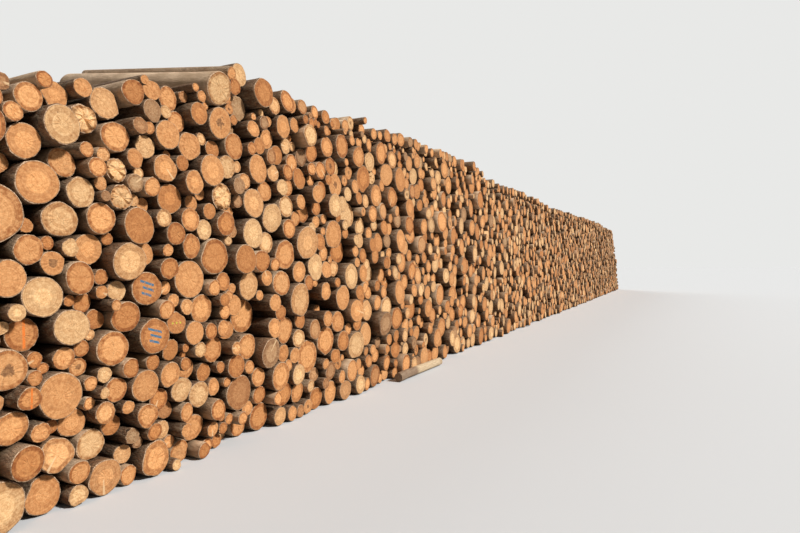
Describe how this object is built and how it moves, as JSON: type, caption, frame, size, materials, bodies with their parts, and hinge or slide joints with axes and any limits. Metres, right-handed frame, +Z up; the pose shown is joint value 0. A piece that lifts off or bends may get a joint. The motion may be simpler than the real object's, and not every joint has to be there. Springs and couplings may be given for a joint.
{
  "type": "stack of logs",
  "caption": "Long roadside stack of softwood round logs laid side by side and on each other, butts to one side, sloped at both ends.",
  "frame": {"origin": "on the ground, in the middle of the stack's length and of its depth", "axes": "+X along the stack from its near end to its far end, +Y across the stack from the front, where the sawn butts show, to the back, +Z up"},
  "size_m": [42.4468, 2.3955, 3.91],
  "materials": {
    "round_wood": "grey-brown flaky bark with warm orange-tan sawn ends",
    "hidden_wood": "logs inside the stack, in shade",
    "bare_wood": "pale peeled wood with patches of bark"
  },
  "bodies": {
    "root": {"foot_stem": "bare_wood", "hidden_logs_01": "hidden_wood", "hidden_logs_02": "hidden_wood", "hidden_logs_03": "hidden_wood", "hidden_logs_04": "hidden_wood", "hidden_logs_05": "hidden_wood", "hidden_logs_06": "hidden_wood", "hidden_logs_07": "hidden_wood", "long_top_log": "round_wood", "near_logs_01": "round_wood", "near_logs_02": "round_wood", "near_logs_03": "round_wood", "near_logs_04": "round_wood", "near_logs_05": "round_wood", "prop_log": "round_wood", "rough_top_log": "round_wood", "top_logs_01": "round_wood", "top_logs_02": "round_wood", "top_logs_03": "round_wood", "top_logs_04": "round_wood", "top_logs_05": "round_wood", "top_logs_06": "round_wood", "top_logs_07": "round_wood", "top_logs_08": "round_wood"}
  },
  "joints": []
}
